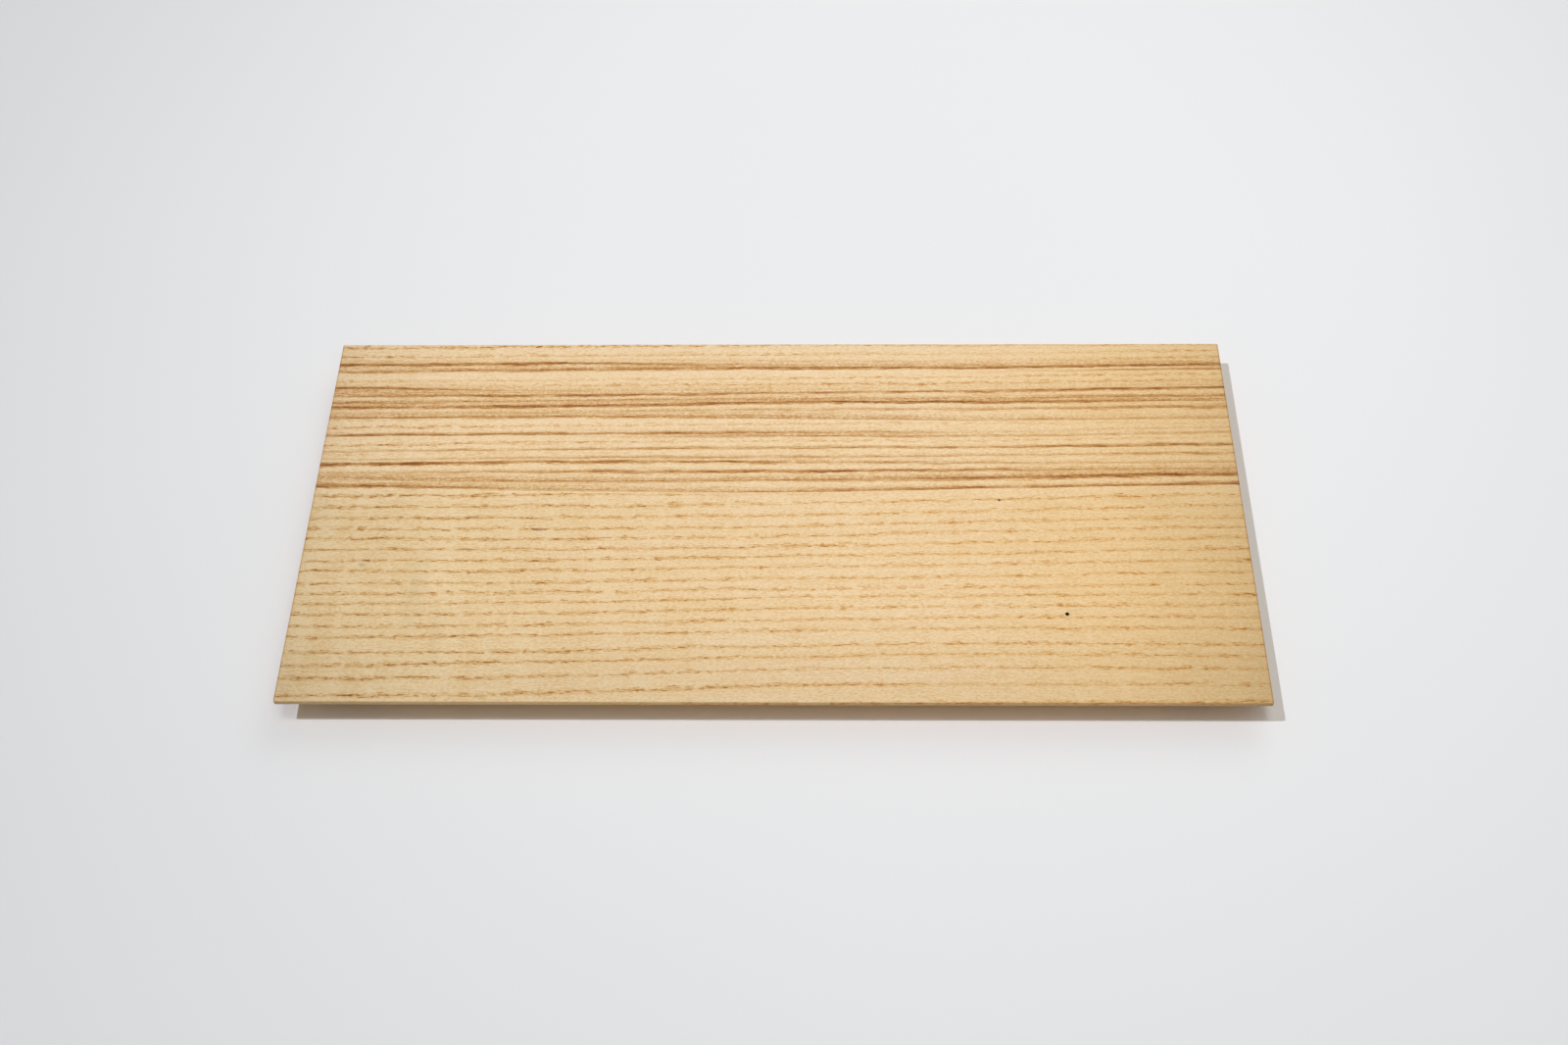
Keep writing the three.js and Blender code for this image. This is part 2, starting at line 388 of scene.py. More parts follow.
@dataclass
class Surface:
    """Points in millimetres with the four-sided, three-sided and many-sided faces between them."""

    points: Array
    quads: Array
    triangles: Array = field(default_factory=lambda: np.zeros((0, 3), int))
    caps: list[list[int]] = field(default_factory=list)

    @classmethod
    def lattice(cls, points: Array, outward_up: bool = True, wrap: bool = False) -> "Surface":
        """Face a lattice of points of shape (rows, columns, 3).

        Args:
            points: The lattice.
            outward_up: Whether faces turn counter-clockwise from rows to columns.
            wrap: Whether the last row joins the first.

        Returns:
            The surface.
        """
        rows, columns = points.shape[:2]
        index = np.arange(rows * columns).reshape(rows, columns)
        if wrap:
            index = np.concatenate([index, index[:1]])
        corners = [index[:-1, :-1], index[:-1, 1:], index[1:, 1:], index[1:, :-1]]
        quads = np.stack(corners, axis=-1).reshape(-1, 4)
        return cls(points.reshape(-1, 3), quads if outward_up else quads[:, ::-1])

    @classmethod
    def welded(cls, parts: Sequence["Surface"]) -> "Surface":
        """Join surfaces along the points they share, and drop faces that shrink to nothing.

        Args:
            parts: The surfaces.

        Returns:
            One surface.
        """
        starts = np.cumsum([0] + [len(p.points) for p in parts])
        points = np.concatenate([p.points for p in parts])
        quads = np.concatenate([p.quads + s for p, s in zip(parts, starts)])
        triangles = np.concatenate([p.triangles + s for p, s in zip(parts, starts)])
        rounded = np.round(points, 4)
        _, first, which = np.unique(rounded, axis=0, return_index=True, return_inverse=True)
        which = which.reshape(-1)
        quads, triangles = which[quads], which[triangles]
        same = quads == np.roll(quads, -1, axis=1)
        for corner in range(4):
            one = same[:, corner] & (same.sum(axis=1) == 1)
            kept = [k for k in range(4) if k != corner]
            triangles = np.concatenate([triangles, quads[one][:, kept]])
        quads = quads[~same.any(axis=1)]
        flat = (triangles == np.roll(triangles, -1, axis=1)).any(axis=1)
        return cls(points[first], quads, triangles[~flat])

    def split_along(self, on_crease: Array) -> "Surface":
        """Cut each quad that has two opposite corners on a crease into two triangles.

        Args:
            on_crease: Whether each point is on the crease.

        Returns:
            The surface with those quads cut.
        """
        marks = on_crease[self.quads]
        first = marks[:, 0] & marks[:, 2]
        second = marks[:, 1] & marks[:, 3] & ~first
        cuts = [(first, [0, 1, 2]), (first, [0, 2, 3]), (second, [1, 2, 3]), (second, [1, 3, 0])]
        halves = [self.quads[which][:, corners] for which, corners in cuts]
        kept = self.quads[~(first | second)]
        return Surface(self.points, kept, np.concatenate([self.triangles, *halves]))

    def to_object(self, name: str, values: dict[str, Array]) -> bpy.types.Object:
        """Write the surface as a Blender object at the origin.

        Args:
            name: The piece's name.
            values: Values per point, kept as mesh attributes.

        Returns:
            The object, linked to the scene.
        """
        mesh = bpy.data.meshes.new(name)
        faces = self.quads.tolist() + self.triangles.tolist() + self.caps
        mesh.from_pydata((self.points * MM).tolist(), [], faces)
        for key, value in values.items():
            attribute = mesh.attributes.new(key, "FLOAT", "POINT")
            attribute.data.foreach_set("value", np.asarray(value, np.float32))
        mesh.shade_smooth()
        mesh.set_sharp_from_angle(angle=SHARP_EDGE)
        mesh.validate()
        made = bpy.data.objects.new(name, mesh)
        bpy.context.scene.collection.objects.link(made)
        return made


def grid_lines(low: float, high: float, step: float, exact: Sequence[float], clear: float) -> Array:
    """Space lines evenly between two limits, giving way to lines that must be exact.

    Args:
        low, high: The limits, which are lines themselves.
        step: Usual spacing.
        exact: Lines that must be there.
        clear: Least distance between a usual line and an exact one.

    Returns:
        The sorted lines.
    """
    fixed = np.unique(np.round(np.concatenate([[low, high], np.asarray(exact, float)]), 6))
    even = np.linspace(low, high, int(round((high - low) / step)) + 1)
    room = np.abs(even[:, None] - fixed[None, :]).min(axis=1) > clear
    return np.sort(np.concatenate([fixed, even[room]]))


def round_off(
    x: Array, y: Array, centre: tuple[float, float], hold: float, fade: float
) -> tuple[Array, Array, Array]:
    """Pull the square rings of a lattice about a centre into round ones.

    A point at square radius s, the larger of its two distances from the centre, moves along its
    own direction to true radius s; the pull fades out between hold and fade.

    Args:
        x, y: Lattice places.
        centre: The centre.
        hold: Square radius up to which rings are round.
        fade: Square radius from which nothing moves.

    Returns:
        The new x and y, and the square radius.
    """
    p, q = x - centre[0], y - centre[1]
    square = np.maximum(np.abs(p), np.abs(q))
    radius = np.hypot(p, q)
    pull = 1 - ease(hold, fade, square)
    factor = 1 + pull * (square / np.where(radius > 0, radius, 1.0) - 1)
    return centre[0] + p * factor, centre[1] + q * factor, square


class Graph:
    """A node tree with short calls for the nodes that the finishes use."""

    def __init__(self, tree: bpy.types.NodeTree) -> None:
        """Keep the tree."""
        self.tree = tree

    def add(self, kind: str, **settings: object) -> bpy.types.Node:
        """Add a node and set its properties.

        Args:
            kind: Node type name.
            settings: Property values.

        Returns:
            The node.
        """
        node = self.tree.nodes.new(kind)
        for key, value in settings.items():
            setattr(node, key, value)
        return node

    def wire(self, node: bpy.types.Node, values: dict) -> bpy.types.Node:
        """Link sockets to a node's inputs, or set the inputs' own values.

        Args:
            node: The node.
            values: Sockets or plain values by the inputs' names or numbers.

        Returns:
            The node.
        """
        for key, value in values.items():
            if isinstance(value, Socket):
                self.tree.links.new(value, node.inputs[key])
            else:
                node.inputs[key].default_value = value
        return node

    def math(self, operation: str, *values: object) -> Socket:
        """Do one step of arithmetic on sockets or numbers."""
        node = self.add("ShaderNodeMath", operation=operation)
        return self.wire(node, dict(enumerate(values))).outputs[0]

    def times(self, *values: object) -> Socket:
        """Multiply values together."""
        return reduce(lambda one, other: self.math("MULTIPLY", one, other), values)

    def plus(self, first: object, second: object) -> Socket:
        """Add two values."""
        return self.math("ADD", first, second)

    def minus(self, first: object, second: object) -> Socket:
        """Take the second value from the first."""
        return self.math("SUBTRACT", first, second)

    def larger(self, first: object, second: object) -> Socket:
        """Take the larger of two values."""
        return self.math("MAXIMUM", first, second)

    def scaled(self, value: object, factor: object, start: object) -> Socket:
        """Add a value times a factor to a start."""
        return self.math("MULTIPLY_ADD", value, factor, start)

    def vector(self, operation: str, first: object, second: object = None) -> Socket:
        """Do one step of arithmetic on vectors.

        Args:
            operation: Vector Math node operation.
            first: Socket or vector.
            second: Socket or vector, or the factor of SCALE.

        Returns:
            The result, which is a number for LENGTH.
        """
        node = self.wire(self.add("ShaderNodeVectorMath", operation=operation), {0: first})
        if second is not None:
            self.wire(node, {"Scale" if operation == "SCALE" else 1: second})
        return node.outputs["Value" if operation == "LENGTH" else "Vector"]

    def noise(self, place: Socket, pattern: Noise) -> Socket:
        """Sample smooth noise, which lies about 0.5.

        Args:
            place: Place of the sample.
            pattern: The noise's sizes and finer noise.

        Returns:
            The noise.
        """
        sizes, detail, roughness = pattern.value
        values = {"Scale": 1.0, "Detail": detail, "Roughness": roughness}
        values["Vector"] = self.vector("DIVIDE", place, sizes)
        return self.wire(self.add("ShaderNodeTexNoise"), values).outputs["Fac"]

    def span(
        self, value: Socket, low: object, high: object,
        to_low: float = 0.0, to_high: float = 1.0, smooth: bool = True,
    ) -> Socket:
        """Map a range of values onto another, held at both ends.

        Args:
            value: What is mapped.
            low, high: Range of the value.
            to_low, to_high: Range of the result.
            smooth: Whether the ends are eased.

        Returns:
            The mapped value.
        """
        curve = "SMOOTHSTEP" if smooth else "LINEAR"
        node = self.add("ShaderNodeMapRange", interpolation_type=curve)
        values = dict(enumerate((value, low, high, to_low, to_high)))
        return self.wire(node, values).outputs["Result"]

    def blend(self, share: object, first: object, second: object) -> Socket:
        """Mix two colours by the share of the second."""
        node = self.add("ShaderNodeMix", data_type="RGBA")
        return self.wire(node, {0: share, 6: first, 7: second}).outputs[2]

    def tinted(self, colour: object, tint: Triple, depth: object) -> Socket:
        """Stain a colour as a clear tint does: multiply it by the tint to the power of the depth.

        Args:
            colour: What is stained.
            tint: Share of red, green and blue that one depth of the tint lets through.
            depth: How deep the tint lies.

        Returns:
            The stained colour.
        """
        node = self.wire(self.add("ShaderNodeGamma"), {"Color": (*tint, 1.0), "Gamma": depth})
        return self.vector("MULTIPLY", colour, node.outputs["Color"])

    def parts(self, vector: Socket) -> Sockets:
        """Take a vector's three coordinates."""
        return self.wire(self.add("ShaderNodeSeparateXYZ"), {0: vector}).outputs

    def joined(self, x: object, y: object, z: object) -> Socket:
        """Make a vector from three values."""
        return self.wire(self.add("ShaderNodeCombineXYZ"), {0: x, 1: y, 2: z}).outputs[0]

    def value_of(self, name: str) -> Socket:
        """Read one of the piece's own mesh attributes."""
        return self.add("ShaderNodeAttribute", attribute_name=name).outputs["Fac"]

    def placed(self, group: bpy.types.NodeTree, values: dict) -> Sockets:
        """Place a node group, feed its named inputs and give its outputs."""
        return self.wire(self.add("ShaderNodeGroup", node_tree=group), values).outputs


class RingLines:
    """The growth rings about a point of the wood, and what is drawn of them there."""

    row_jump = 71.3
    row_level = 3.0
    twin_gap = 1.1

    def __init__(self, graph: Graph, given: dict[str, Socket]) -> None:
        """Find the nearest ring line.

        The ring number is nudged by two noises, so that a line wanders and has a ragged edge, a
        streak less than a pore row. The distance to the nearest whole number, times the gap,
        gives millimetres past the line. The row is a place that runs along the line and jumps
        from line to line, and the dashes are the noise of the open vessels.

        Args:
            graph: The group's graph.
            given: Its inputs.
        """
        self.graph, self.grain = graph, given["Grain"]
        self.weight, self.streaky = given["Weight"], given["Streak"]
        wander = graph.minus(graph.noise(self.grain, Noise.WANDER), 0.5)
        ragged = graph.minus(graph.noise(self.grain, Noise.RAGGED), 0.5)
        ragged = graph.times(ragged, graph.scaled(self.streaky, -2.2, 3.6))
        nudge = graph.scaled(wander, 2.4, ragged)
        ring = graph.plus(given["Ring"], graph.math("DIVIDE", nudge, given["Gap"]))
        whole = graph.math("ROUND", ring)
        self.offset = graph.times(graph.minus(ring, whole), given["Gap"])
        self.away = graph.math("ABSOLUTE", self.offset)
        jump = graph.times(whole, self.row_jump)
        self.row = graph.joined(graph.parts(self.grain)[0], jump, self.row_level)
        self.dashes = graph.noise(self.grain, Noise.VESSELS)

    def pore_rows(self) -> tuple[Socket, Socket]:
        """Draw the open pores.

        A pore row is a band of open vessels, here and there doubled, in runs with breaks between,
        and with strays beside it. A streak has a fainter trail of vessels on its near side.

        Returns:
            Masks of the pores and of the soft halo of their rows.
        """
        graph, row, away, dashes = self.graph, self.row, self.away, self.dashes
        rows = graph.times(self.weight, graph.minus(1.0, self.streaky))
        breaks = graph.noise(row, Noise.ROW_BREAKS)
        girth = graph.span(graph.noise(row, Noise.ROW_GIRTH), 0.3, 0.72, 0.08, 0.46)
        band = graph.span(away, graph.minus(girth, 0.2), graph.plus(girth, 0.26), 1.0, 0.0)
        band = graph.times(band, graph.span(breaks, 0.35, 0.5))
        beside = graph.math("ABSOLUTE", graph.plus(self.offset, self.twin_gap))
        twin = graph.span(graph.noise(row, Noise.ROW_TWINS), 0.52, 0.62, 0.0, 0.7)
        twin = graph.times(graph.span(beside, 0.1, 0.5, 1.0, 0.0), twin)
        vessels = graph.span(dashes, 0.46, 0.575)
        darkest = graph.span(dashes, 0.54, 0.62, 0.12, 0.95)
        core = graph.times(graph.larger(band, twin), graph.scaled(vessels, 0.95, darkest))
        strays = graph.span(dashes, 0.55, 0.66, 0.0, 0.85)
        strays = graph.times(strays, graph.span(away, 0.3, 1.7, 1.0, 0.0))
        behind = graph.math("ABSOLUTE", graph.minus(self.offset, self.twin_gap))
        trail = graph.span(behind, 0.15, 0.8, 0.45, 0.0)
        trail = graph.times(trail, vessels, self.weight, self.streaky)
        halo = graph.times(graph.span(away, 0.1, 1.4, 1.0, 0.0), graph.span(breaks, 0.3, 0.5), rows)
        return graph.scaled(graph.larger(core, strays), rows, trail), halo

    def streaks(self) -> Socket:
        """Draw the streaks: stained lines of strands, sharp on the near side, that swell and fade.

        Returns:
            A mask of the streaks.
        """
        graph, offset = self.graph, self.offset
        width = graph.scaled(self.weight, 0.4, 0.2)
        near_side = graph.span(offset, graph.minus(width, 0.1), graph.plus(width, 0.6), 1.0, 0.0)
        far_side = graph.span(offset, graph.minus(-0.8, width), graph.scaled(width, -0.2, 0.2))
        swell = graph.noise(self.row, Noise.STREAK_SWELL)
        swell = graph.span(swell, 0.3, 0.7, 0.3, 1.25, smooth=False)
        strands = graph.span(graph.noise(self.grain, Noise.STRANDS), 0.36, 0.64, 0.35, 1.3)
        stained = graph.times(graph.math("POWER", self.weight, 1.15), self.streaky)
        return graph.times(near_side, far_side, swell, strands, stained)


class GroupMaker:
    """Builds the node groups that all the woods share."""

    number = "NodeSocketFloat"
    vector = "NodeSocketVector"

    def begin(
        self, name: str, takes: dict[str, str], gives: Sequence[str]
    ) -> tuple[Graph, dict[str, Socket], bpy.types.Node]:
        """Start a group with named sockets.

        Args:
            name: The group's name.
            takes: Input socket types by name.
            gives: Names of the output numbers.

        Returns:
            The graph, its input sockets by name, and the output node.
        """
        tree = bpy.data.node_groups.new(name, "ShaderNodeTree")
        for key, kind in takes.items():
            tree.interface.new_socket(name=key, in_out="INPUT", socket_type=kind)
        for key in gives:
            tree.interface.new_socket(name=key, in_out="OUTPUT", socket_type=self.number)
        graph = Graph(tree)
        entry = graph.add("NodeGroupInput")
        return graph, {key: entry.outputs[key] for key in takes}, graph.add("NodeGroupOutput")

    def grain_lines(self) -> bpy.types.NodeTree:
        """Draw the growth rings: broken pore rows with a soft halo, and stained streaks.

        Returns:
            The group. Pores, Halo and Streaks are masks from 0 to about 1.
        """
        takes = {"Grain": self.vector} | dict.fromkeys(("Ring", "Gap", "Weight", "Streak"), self.number)
        graph, given, leave = self.begin("grain_lines", takes, ("Pores", "Halo", "Streaks"))
        lines = RingLines(graph, given)
        open_pores, halo = lines.pore_rows()
        graph.wire(leave, {"Pores": open_pores, "Halo": halo, "Streaks": lines.streaks()})
        return graph.tree

    def wood_fibre(self) -> bpy.types.NodeTree:
        """Draw long fibres, fine grit, short open pores between the rings, and drifts of tone.

        Returns:
            The group. Fibre, Grit, Drift and Figure lie about 0.5; Specks is a mask from 0 to 1.
            Drift runs with the grain and Figure across it.
        """
        gives = ("Fibre", "Grit", "Specks", "Drift", "Figure")
        graph, given, leave = self.begin("wood_fibre", {"Grain": self.vector}, gives)
        grain = given["Grain"]
        fine = graph.times(graph.noise(grain, Noise.FINE_FIBRES), 0.4)
        values = {
            "Fibre": graph.scaled(graph.noise(grain, Noise.LONG_FIBRES), 0.6, fine),
            "Grit": graph.noise(grain, Noise.GRIT),
            "Specks": graph.span(graph.noise(grain, Noise.SHORT_PORES), 0.62, 0.75),
            "Drift": graph.noise(grain, Noise.DRIFT),
            "Figure": graph.noise(grain, Noise.FIGURE),
        }
        graph.wire(leave, values)
        return graph.tree

    def mark(self) -> bpy.types.NodeTree:
        """Draw one small mark: a ragged ellipse, full in its middle, that fades to its rim.

        Returns:
            The group. Mask is from 0 to 1.
        """
        takes = dict.fromkeys(("Grain", "Centre", "Size"), self.vector) | {"Full": self.number}
        graph, given, leave = self.begin("mark", takes, ("Mask",))
        off = graph.vector("SUBTRACT", given["Grain"], given["Centre"])
        reach = graph.vector("LENGTH", graph.vector("DIVIDE", off, given["Size"]))
        ragged = graph.minus(graph.noise(given["Grain"], Noise.MARK_RIM), 0.5)
        mask = graph.span(graph.plus(reach, ragged), given["Full"], 1.0, 1.0, 0.0)
        graph.wire(leave, {"Mask": mask})
        return graph.tree


class MarkTone(Enum):
    """Colour of a small mark, as a screen shows it."""

    BLACK_PORE = (92, 56, 30)
    GREY_SPOT = (150, 143, 132)
    OLIVE_SHADE = (196, 168, 118)


@dataclass(frozen=True)
class Mark:
    """One natural mark on the serving face: its middle, half sizes, colour and strength.

    Attributes:
        full: Share of its radius over which it has its full strength.
    """

    x: float
    y: float
    half_x: float
    half_y: float
    tone: MarkTone
    strength: float
    full: float = 0.3


PLANK_MARKS: tuple[Mark, ...] = (
    Mark(-174.0, -29.6, 1.9, 1.3, MarkTone.GREY_SPOT, 0.5),
    Mark(-172.0, -27.2, 2.6, 0.6, MarkTone.BLACK_PORE, 0.8),
    Mark(-101.0, -10.2, 3.4, 0.6, MarkTone.BLACK_PORE, 0.75),
    Mark(-129.9, -3.6, 4.5, 0.7, MarkTone.BLACK_PORE, 0.45),
    Mark(-131.5, -21.4, 6.0, 0.6, MarkTone.BLACK_PORE, 0.4),
    Mark(-9.0, -42.6, 3.6, 0.55, MarkTone.BLACK_PORE, 0.5),
    Mark(96.0, 6.2, 0.9, 0.8, MarkTone.BLACK_PORE, 0.95),
    Mark(197.0, -80.5, 2.0, 3.0, MarkTone.OLIVE_SHADE, 0.9),
    Mark(-150.0, -46.0, 9.0, 40.0, MarkTone.OLIVE_SHADE, 0.3, full=0.0),
    Mark(-139.0, -66.0, 6.0, 24.0, MarkTone.OLIVE_SHADE, 0.25, full=0.0),
)


@dataclass(frozen=True)
class Groups:
    """The shared node groups."""

    lines: bpy.types.NodeTree
    fibre: bpy.types.NodeTree
    mark: bpy.types.NodeTree


@dataclass(frozen=True)
class WoodNodes:
    """A material's graph, its grain place in millimetres, and what the shared groups give."""

    graph: Graph
    grain: Socket
    rings: Sockets
    threads: Sockets
    mark: bpy.types.NodeTree


@dataclass(frozen=True)
class WoodFinish:
    """An oiled wood.

    Attributes:
        name: Material name.
        turn: Turn that lays the grain along the pattern's X.
        pale, warm: The two tones that the ground drifts between.
        gold: Colour of the open pore rows, on the pale tone.
        fleck: Colour of fine flecks, on the pale tone.
        roughness: Roughness of the ground.
    """

    name: str
    turn: GrainTurn
    pale: Colour
    warm: Colour
    gold: Colour
    fleck: Colour
    roughness: float

    def build(self, groups: Groups) -> bpy.types.Material:
        """Build the material from the shared groups.

        Args:
            groups: The shared groups.

        Returns:
            The material.
        """
        material = bpy.data.materials.new(self.name)
        material.use_nodes = True
        graph = Graph(material.node_tree)
        laid = {
            "Vector": graph.add("ShaderNodeTexCoord").outputs["Object"],
            "Rotation": Euler([math.radians(a) for a in self.turn.value]),
            "Scale": (1 / MM, 1 / MM, 1 / MM),
        }
        grain = graph.wire(graph.add("ShaderNodeMapping"), laid).outputs["Vector"]
        given = {name: graph.value_of(name.lower()) for name in ("Ring", "Gap", "Weight", "Streak")}
        rings = graph.placed(groups.lines, {"Grain": grain} | given)
        threads = graph.placed(groups.fibre, {"Grain": grain})
        nodes = WoodNodes(graph, grain, rings, threads, groups.mark)
        shader = material.node_tree.nodes["Principled BSDF"]
        graph.wire(shader, {"Base Color": self.colour(nodes)} | self.surface(nodes))
        return material

    def tint(self, colour: Colour) -> Triple:
        """Share of light that a stain lets through, from its colour on the pale tone."""
        return tuple(c / p for c, p in zip(colour[:3], self.pale))

    def colour(self, nodes: WoodNodes) -> Socket:
        """Lay flecks and pores over the ground.

        Args:
            nodes: The material's nodes.

        Returns:
            The colour.
        """
        colour = self.flecked(nodes, self.ground(nodes), 0.4)
        return nodes.graph.tinted(colour, self.tint(self.gold), self.pore_depth(nodes))

    def ground(self, nodes: WoodNodes) -> Socket:
        """Let the ground drift between its two tones."""
        return nodes.graph.blend(nodes.graph.span(nodes.threads["Drift"], 0.3, 0.7), self.pale, self.warm)

    def flecked(self, nodes: WoodNodes, colour: Socket, figure: object) -> Socket:
        """Stain a colour with fine flecks along the grain and soft bands across it.

        Args:
            nodes: The material's nodes.
            colour: The colour.
            figure: Strength of the bands across the grain.

        Returns:
            The flecked colour.
        """
        graph, threads = nodes.graph, nodes.threads
        cross = graph.times(graph.minus(threads["Figure"], 0.5), figure)
        flecks = graph.scaled(threads["Fibre"], 2.2, graph.times(threads["Grit"], 3.8))
        flecks = graph.larger(graph.plus(graph.minus(flecks, 3.08), cross), -0.4)
        return graph.tinted(colour, self.tint(self.fleck), flecks)

    def pore_depth(self, nodes: WoodNodes) -> Socket:
        """Say how deep the pores' stain lies, with their halo and the short pores between rows."""
        depth = nodes.graph.scaled(nodes.rings["Halo"], 0.2, nodes.rings["Pores"])
        return nodes.graph.scaled(nodes.threads["Specks"], 0.3, depth)

    def surface(self, nodes: WoodNodes) -> dict[str, object]:
        """Make the satin sheen, and the relief of fibres and open pores.

        Args:
            nodes: The material's nodes.

        Returns:
            The shader's values by the names of its inputs.
        """
        graph, fibre, open_pores = nodes.graph, nodes.threads["Fibre"], nodes.rings["Pores"]
        sheen = graph.span(fibre, 0.3, 0.7, self.roughness - 0.05, self.roughness + 0.05)
        sunk = graph.times(graph.larger(open_pores, nodes.threads["Specks"]), -0.6)
        relief = {"Height": graph.scaled(fibre, 0.35, sunk), "Strength": 0.25, "Distance": 0.12 * MM}
        return {
            "Specular IOR Level": 0.3,
            "Roughness": graph.scaled(open_pores, 0.2, sheen),
            "Normal": graph.wire(graph.add("ShaderNodeBump"), relief).outputs["Normal"],
        }


@dataclass(frozen=True)
class PlankFinish(WoodFinish):
    """The plank's oiled wood, with its streaks, drifting tones and marks, and painted shade at its ends,
    rim and pin hole.

    Attributes:
        grey, deep: The ground where the wood is duller and where it is deeper in colour.
        light: The ground between and after the streaks, where the wood is fairer.
        pore: Colour of the open pore rows in duller wood, on the pale tone.
        stain: Colour of the streaks, on the pale tone.
        shade: Colour of the soft tone before a streak, on the pale tone.
        under: Colour of the underside, which has drunk more oil, on the pale tone.
        edge: Colour of the rim, on the pale tone: painted shade of its rounded arrises.
        hole_shade: Painted shade inside the pin hole, near black.
        end_shade: How much the painted shade darkens the ends and the long edges, where the light falls
            off.
        mark_height, mark_depth: Height of the marks' middles, and their half size along Z.
        marks: Natural marks.
    """

    grey: Colour
    deep: Colour
    light: Colour
    pore: Colour
    stain: Colour
    shade: Colour
    under: Colour
    edge: Colour
    hole_shade: Colour = shown(22, 14, 9)
    end_shade: float = 0.14
    mark_height: float = 15.0
    mark_depth: float = 4.0
    marks: tuple[Mark, ...] = PLANK_MARKS

    def colour(self, nodes: WoodNodes) -> Socket:
        """Lay the plank's colours over each other, from the ground up to the rim and the marks.

        Args:
            nodes: The material's nodes.

        Returns:
            The colour.
        """
        graph, dull = nodes.graph, nodes.graph.value_of("dull")
        colour = self.toned(nodes, self.ground(nodes), dull)
        colour = self.flecked(nodes, colour, graph.scaled(dull, 0.9, 0.4))
        depth = self.pore_depth(nodes)
        # Painted shade: the colour darkens towards the ends and the long edges, where the light falls off.
        level = graph.scaled(graph.value_of("ends"), -self.end_shade, 1.0)
        stains = (
            (self.gold, graph.times(depth, graph.minus(1.0, dull))),
            (self.pore, graph.times(depth, dull)),
            (self.stain, nodes.rings["Streaks"]),
            (self.under, graph.value_of("below")),
            # Painted shade on the rim's rounded arrises, strongest at the ends.
            (self.edge, graph.value_of("edge")),
        )
        for stain, how_deep in stains:
            colour = graph.tinted(colour, self.tint(stain), how_deep)
        colour = self.marked(nodes, graph.vector("SCALE", colour, level))
        # Painted shade: the inside of the pin hole is laid near black.
        return graph.blend(graph.value_of("hole"), colour, self.hole_shade)

    def toned(self, nodes: WoodNodes, colour: Socket, dull: Socket) -> Socket:
        """Change the ground's tone over the plank, and lay the soft shade before the streaks.

        Args:
            nodes: The material's nodes.
            colour: The ground.
            dull: How dull the wood is.

        Returns:
            The toned ground.
        """
        graph, threads = nodes.graph, nodes.threads
        shade = graph.value_of("shade")
        fair = graph.larger(graph.times(shade, -1.0), graph.value_of("fair"))
        for share, tone in ((dull, self.grey), (graph.value_of("honey"), self.deep), (fair, self.light)):
            colour = graph.blend(share, colour, tone)
        bands = graph.plus(graph.times(threads["Fibre"], 5.0), graph.times(threads["Grit"], 4.2))
        bands = graph.larger(graph.minus(bands, 3.5), 0.0)
        return graph.tinted(colour, self.tint(self.shade), graph.times(graph.larger(shade, 0.0), bands))

    def marked(self, nodes: WoodNodes, colour: Socket) -> Socket:
        """Lay the natural marks over a colour.

        Args:
            nodes: The material's nodes.
            colour: The colour.

        Returns:
            The marked colour.
        """
        for mark in self.marks:
            shape = {
                "Grain": nodes.grain,
                "Centre": (mark.x, mark.y, self.mark_height),
                "Size": (mark.half_x, mark.half_y, self.mark_depth),
                "Full": mark.full,
            }
            mask = nodes.graph.placed(nodes.mark, shape)["Mask"]
            share = nodes.graph.times(mask, mark.strength)
            colour = nodes.graph.blend(share, colour, shown(*mark.tone.value))
        return colour


PLANK_FINISH = PlankFinish(
    "plank_oiled",
    GrainTurn.ALONG_X,
    pale=shown(241, 210, 166),
    warm=shown(239, 206, 157),
    gold=shown(203, 143, 72),
    fleck=shown(226, 187, 133),
    roughness=0.55,
    grey=shown(232, 203, 156),
    deep=shown(233, 197, 141),
    light=shown(245, 217, 177),
    pore=shown(178, 118, 52),
    stain=shown(157, 98, 42),
    shade=shown(205, 158, 101),
    under=shown(245, 190, 112),
    edge=shown(204, 157, 98),
)
BATTEN_FINISH = WoodFinish(
    "batten_oiled",
    GrainTurn.ALONG_Y,
    pale=shown(232, 198, 149),
    warm=shown(226, 188, 136),
    gold=shown(188, 138, 76),
    fleck=shown(212, 176, 126),
    roughness=0.58,
)
PEG_FINISH = WoodFinish(
    "peg_oiled",
    GrainTurn.ALONG_Z,
    pale=shown(208, 170, 122),
    warm=shown(198, 158, 108),
    gold=shown(150, 104, 58),
    fleck=shown(184, 144, 96),
    roughness=0.62,
)


def settle(piece: bpy.types.Object, material: bpy.types.Material, node: str) -> None:
    """Dress a piece, let it ride on the plate in place of its CAD node, and report it.

    Args:
        piece: The piece.
        material: Its finish.
        node: The CAD node it stands for.
    """
    piece.data.materials.append(material)
    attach(piece, BODY)
    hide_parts(node)
    LOG.info("%s: %d points, %d faces", piece.name, len(piece.data.vertices), len(piece.data.polygons))


